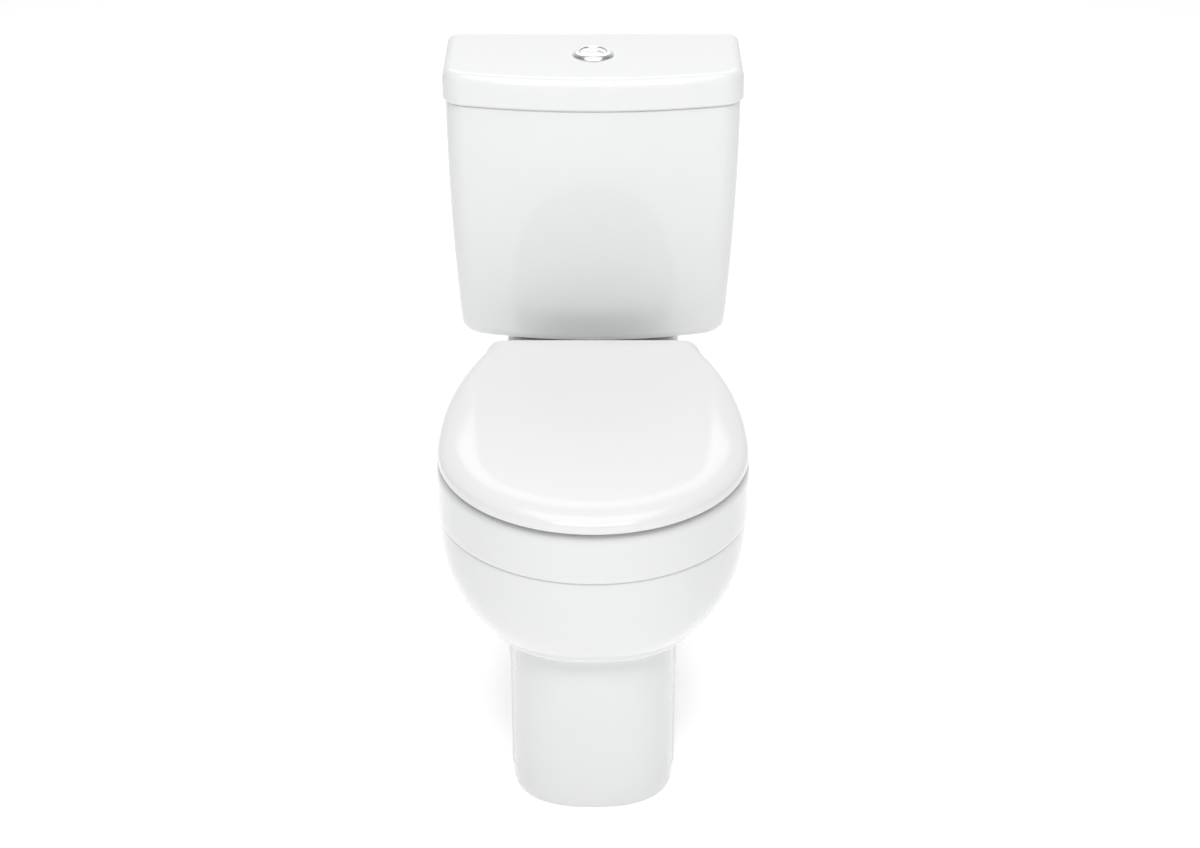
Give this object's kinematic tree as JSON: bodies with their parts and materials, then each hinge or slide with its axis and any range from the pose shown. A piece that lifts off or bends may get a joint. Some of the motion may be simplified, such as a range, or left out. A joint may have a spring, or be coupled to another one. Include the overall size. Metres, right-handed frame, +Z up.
{
  "type": "close coupled toilet",
  "caption": "White glazed close coupled toilet: washdown pan on a narrow pedestal, tapered cistern with a bowed front and dual flush button, wrap over seat lid.",
  "frame": {"origin": "on the floor, at the middle of the footprint: halfway across and halfway from the wall to the front of the seat", "axes": "+X to the right of someone facing the toilet, +Y back to the wall, +Z up"},
  "size_m": [0.373, 0.652, 0.7783],
  "materials": {
    "glaze": "gloss white glaze",
    "seat_plastic": "gloss moulded",
    "chrome": "bright plated",
    "steel": "satin",
    "brass": "turned",
    "white_plastic": "moulded",
    "blue_plastic": "moulded",
    "rubber": "moulded",
    "foam": "closed cell foam"
  },
  "bodies": {
    "suite": {"pan": "glaze", "cistern_body": "glaze", "hinge_post_left": "chrome", "hinge_post_right": "chrome", "side_screw_left": "steel", "side_screw_right": "steel", "hinge_pin_left": "steel", "hinge_pin_right": "steel", "hinge_bolt_left": "steel", "hinge_bolt_right": "steel", "bolt_plate_washer_left": "steel", "bolt_plate_washer_right": "steel", "lever_pin": "steel", "coupling_bolt_left": "brass", "coupling_bolt_right": "brass", "coupling_wing_nut_left": "brass", "coupling_wing_nut_right": "brass", "valve_cage": "white_plastic", "valve_backnut": "white_plastic", "fill_valve_body": "white_plastic", "fill_backnut": "white_plastic", "floor_bracket_left": "white_plastic", "floor_bracket_right": "white_plastic", "screw_cap_left": "white_plastic", "screw_cap_right": "white_plastic", "hinge_nut_left": "white_plastic", "hinge_nut_right": "white_plastic", "valve_tower": "blue_plastic", "valve_floor_washer": "rubber", "fill_floor_washer": "rubber", "bolt_rubber_washer_left": "rubber", "bolt_rubber_washer_right": "rubber", "hinge_bush_left": "rubber", "hinge_bush_right": "rubber", "coupling_doughnut": "foam"},
    "cistern_lid": {"cistern_lid": "glaze", "button_bezel": "chrome", "bezel_nut": "white_plastic"},
    "full_flush": {"full_flush_button": "chrome", "full_flush_push_rod": "white_plastic"},
    "half_flush": {"half_flush_button": "chrome", "half_flush_push_rod": "white_plastic"},
    "full_flush_actuator": {"full_flush_actuator": "blue_plastic"},
    "half_flush_actuator": {"half_flush_actuator": "blue_plastic"},
    "lifting_piston": {"lifting_piston": "white_plastic", "piston_seal": "rubber"},
    "fill_float": {"fill_float": "blue_plastic"},
    "fill_lever": {"fill_lever": "blue_plastic"},
    "seat_ring": {"seat_ring": "seat_plastic", "ring_buffer_front_left": "rubber", "ring_buffer_front_right": "rubber", "ring_buffer_rear_left": "rubber", "ring_buffer_rear_right": "rubber"},
    "seat_lid": {"seat_lid": "seat_plastic", "lid_buffer_left": "rubber", "lid_buffer_right": "rubber"}
  },
  "joints": [
    {"name": "cistern_lid_lift", "type": "slide", "parent": "suite", "child": "cistern_lid", "axis": [0, 0, 1], "range_m": [0, 0.065]},
    {"name": "full_flush_press", "type": "slide", "parent": "cistern_lid", "child": "full_flush", "axis": [0, 0, -1], "range_m": [0, 0.0045], "stiffness_N_per_m": 700, "springref_m": -0.003},
    {"name": "half_flush_press", "type": "slide", "parent": "cistern_lid", "child": "half_flush", "axis": [0, 0, -1], "range_m": [0, 0.0045], "stiffness_N_per_m": 700, "springref_m": -0.003},
    {"name": "full_actuator_slide", "type": "slide", "parent": "suite", "child": "full_flush_actuator", "axis": [0, 0, -1], "range_m": [0, 0.0045]},
    {"name": "half_actuator_slide", "type": "slide", "parent": "suite", "child": "half_flush_actuator", "axis": [0, 0, -1], "range_m": [0, 0.0045]},
    {"name": "piston_lift", "type": "slide", "parent": "suite", "child": "lifting_piston", "axis": [0, 0, 1], "range_m": [0, 0.0121]},
    {"name": "float_rise", "type": "slide", "parent": "suite", "child": "fill_float", "axis": [0, 0, 1], "range_m": [0, 0.025]},
    {"name": "fill_lever_swing", "type": "hinge", "parent": "suite", "child": "fill_lever", "pos_m": [-0.13, 0.252, 0.718], "axis": [-1, 0, 0], "range_deg": [0, 39.79]},
    {"name": "seat_ring_hinge", "type": "hinge", "parent": "suite", "child": "seat_ring", "pos_m": [0, 0.104, 0.424], "axis": [-1, 0, 0], "range_deg": [0, 92]},
    {"name": "seat_lid_hinge", "type": "hinge", "parent": "seat_ring", "child": "seat_lid", "pos_m": [0, 0.104, 0.424], "axis": [1, 0, 0], "range_deg": [-92, 0]}
  ],
  "couplings": [
    {"joint": "full_actuator_slide", "follows": "full_flush_press", "ratio": 1},
    {"joint": "half_actuator_slide", "follows": "half_flush_press", "ratio": 1},
    {"joint": "piston_lift", "follows": "full_flush_press", "ratio": 2.6667},
    {"joint": "fill_lever_swing", "follows": "float_rise", "rad_per_m": 27.57}
  ]
}
